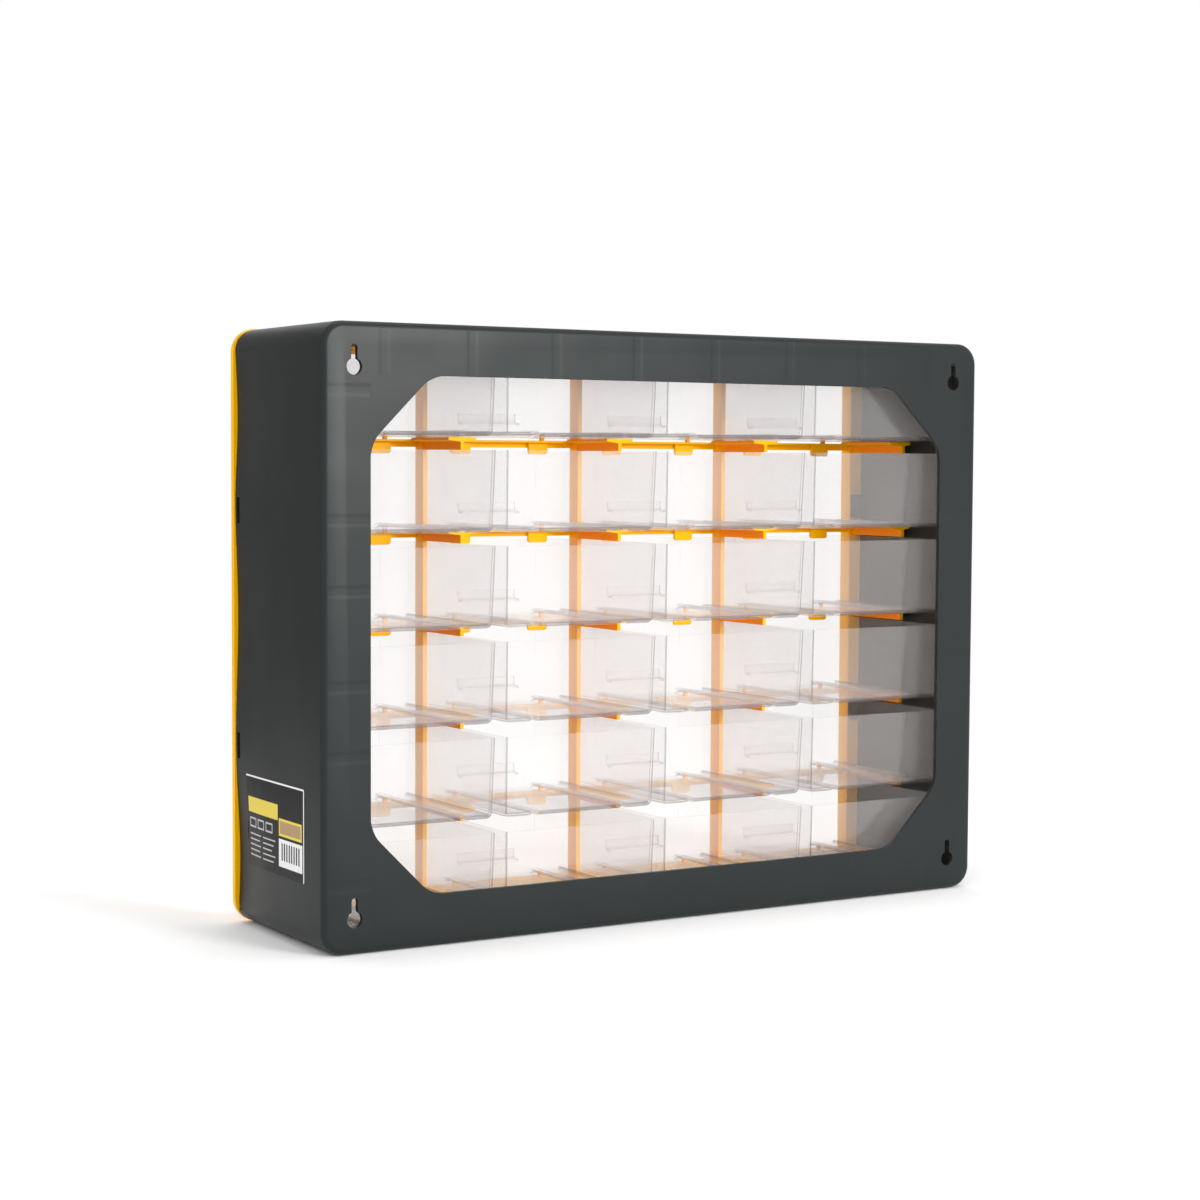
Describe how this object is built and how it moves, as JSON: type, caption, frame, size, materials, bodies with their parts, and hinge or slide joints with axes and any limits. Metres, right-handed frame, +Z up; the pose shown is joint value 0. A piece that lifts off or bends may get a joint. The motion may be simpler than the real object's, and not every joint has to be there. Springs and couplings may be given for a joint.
{
  "type": "parts bin cabinet",
  "caption": "Wall-mounted bin cabinet: dark moulded housing with an open rear window and keyholes, a bright front grid with runners, and clear sliding drawers.",
  "frame": {"origin": "middle of the bounding box's footprint, on the surface the cabinet stands on", "axes": "+X to the right seen from the front, +Y towards the wall, +Z up"},
  "size_m": [0.5, 0.146, 0.38],
  "materials": {
    "housing_plastic": "satin anthracite injection-moulded plastic",
    "frame_plastic": "warm yellow injection-moulded plastic",
    "label_film": "printed sticker",
    "drawer_clear": "clear, slightly milky polystyrene"
  },
  "bodies": {
    "cabinet": {"housing": "housing_plastic", "front_frame": "frame_plastic", "label": "label_film"},
    "bin_r1c1": {"drawer_r1c1": "drawer_clear"},
    "bin_r1c2": {"drawer_r1c2": "drawer_clear"},
    "bin_r1c3": {"drawer_r1c3": "drawer_clear"},
    "bin_r1c4": {"drawer_r1c4": "drawer_clear"},
    "bin_r2c1": {"drawer_r2c1": "drawer_clear"},
    "bin_r2c2": {"drawer_r2c2": "drawer_clear"},
    "bin_r2c3": {"drawer_r2c3": "drawer_clear"},
    "bin_r2c4": {"drawer_r2c4": "drawer_clear"},
    "bin_r3c1": {"drawer_r3c1": "drawer_clear"},
    "bin_r3c2": {"drawer_r3c2": "drawer_clear"},
    "bin_r3c3": {"drawer_r3c3": "drawer_clear"},
    "bin_r3c4": {"drawer_r3c4": "drawer_clear"},
    "bin_r4c1": {"drawer_r4c1": "drawer_clear"},
    "bin_r4c2": {"drawer_r4c2": "drawer_clear"},
    "bin_r4c3": {"drawer_r4c3": "drawer_clear"},
    "bin_r4c4": {"drawer_r4c4": "drawer_clear"},
    "bin_r5c1": {"drawer_r5c1": "drawer_clear"},
    "bin_r5c2": {"drawer_r5c2": "drawer_clear"},
    "bin_r5c3": {"drawer_r5c3": "drawer_clear"},
    "bin_r5c4": {"drawer_r5c4": "drawer_clear"},
    "bin_r6c1": {"drawer_r6c1": "drawer_clear"},
    "bin_r6c2": {"drawer_r6c2": "drawer_clear"},
    "bin_r6c3": {"drawer_r6c3": "drawer_clear"},
    "bin_r6c4": {"drawer_r6c4": "drawer_clear"}
  },
  "joints": [
    {"name": "slide_r1c1", "type": "slide", "parent": "cabinet", "child": "bin_r1c1", "axis": [0, -1, 0], "range_m": [0, 0.108]},
    {"name": "slide_r1c2", "type": "slide", "parent": "cabinet", "child": "bin_r1c2", "axis": [0, -1, 0], "range_m": [0, 0.108]},
    {"name": "slide_r1c3", "type": "slide", "parent": "cabinet", "child": "bin_r1c3", "axis": [0, -1, 0], "range_m": [0, 0.108]},
    {"name": "slide_r1c4", "type": "slide", "parent": "cabinet", "child": "bin_r1c4", "axis": [0, -1, 0], "range_m": [0, 0.108]},
    {"name": "slide_r2c1", "type": "slide", "parent": "cabinet", "child": "bin_r2c1", "axis": [0, -1, 0], "range_m": [0, 0.108]},
    {"name": "slide_r2c2", "type": "slide", "parent": "cabinet", "child": "bin_r2c2", "axis": [0, -1, 0], "range_m": [0, 0.108]},
    {"name": "slide_r2c3", "type": "slide", "parent": "cabinet", "child": "bin_r2c3", "axis": [0, -1, 0], "range_m": [0, 0.108]},
    {"name": "slide_r2c4", "type": "slide", "parent": "cabinet", "child": "bin_r2c4", "axis": [0, -1, 0], "range_m": [0, 0.108]},
    {"name": "slide_r3c1", "type": "slide", "parent": "cabinet", "child": "bin_r3c1", "axis": [0, -1, 0], "range_m": [0, 0.108]},
    {"name": "slide_r3c2", "type": "slide", "parent": "cabinet", "child": "bin_r3c2", "axis": [0, -1, 0], "range_m": [0, 0.108]},
    {"name": "slide_r3c3", "type": "slide", "parent": "cabinet", "child": "bin_r3c3", "axis": [0, -1, 0], "range_m": [0, 0.108]},
    {"name": "slide_r3c4", "type": "slide", "parent": "cabinet", "child": "bin_r3c4", "axis": [0, -1, 0], "range_m": [0, 0.108]},
    {"name": "slide_r4c1", "type": "slide", "parent": "cabinet", "child": "bin_r4c1", "axis": [0, -1, 0], "range_m": [0, 0.108]},
    {"name": "slide_r4c2", "type": "slide", "parent": "cabinet", "child": "bin_r4c2", "axis": [0, -1, 0], "range_m": [0, 0.108]},
    {"name": "slide_r4c3", "type": "slide", "parent": "cabinet", "child": "bin_r4c3", "axis": [0, -1, 0], "range_m": [0, 0.108]},
    {"name": "slide_r4c4", "type": "slide", "parent": "cabinet", "child": "bin_r4c4", "axis": [0, -1, 0], "range_m": [0, 0.108]},
    {"name": "slide_r5c1", "type": "slide", "parent": "cabinet", "child": "bin_r5c1", "axis": [0, -1, 0], "range_m": [0, 0.108]},
    {"name": "slide_r5c2", "type": "slide", "parent": "cabinet", "child": "bin_r5c2", "axis": [0, -1, 0], "range_m": [0, 0.108]},
    {"name": "slide_r5c3", "type": "slide", "parent": "cabinet", "child": "bin_r5c3", "axis": [0, -1, 0], "range_m": [0, 0.108]},
    {"name": "slide_r5c4", "type": "slide", "parent": "cabinet", "child": "bin_r5c4", "axis": [0, -1, 0], "range_m": [0, 0.108]},
    {"name": "slide_r6c1", "type": "slide", "parent": "cabinet", "child": "bin_r6c1", "axis": [0, -1, 0], "range_m": [0, 0.108]},
    {"name": "slide_r6c2", "type": "slide", "parent": "cabinet", "child": "bin_r6c2", "axis": [0, -1, 0], "range_m": [0, 0.108]},
    {"name": "slide_r6c3", "type": "slide", "parent": "cabinet", "child": "bin_r6c3", "axis": [0, -1, 0], "range_m": [0, 0.108]},
    {"name": "slide_r6c4", "type": "slide", "parent": "cabinet", "child": "bin_r6c4", "axis": [0, -1, 0], "range_m": [0, 0.108]}
  ]
}
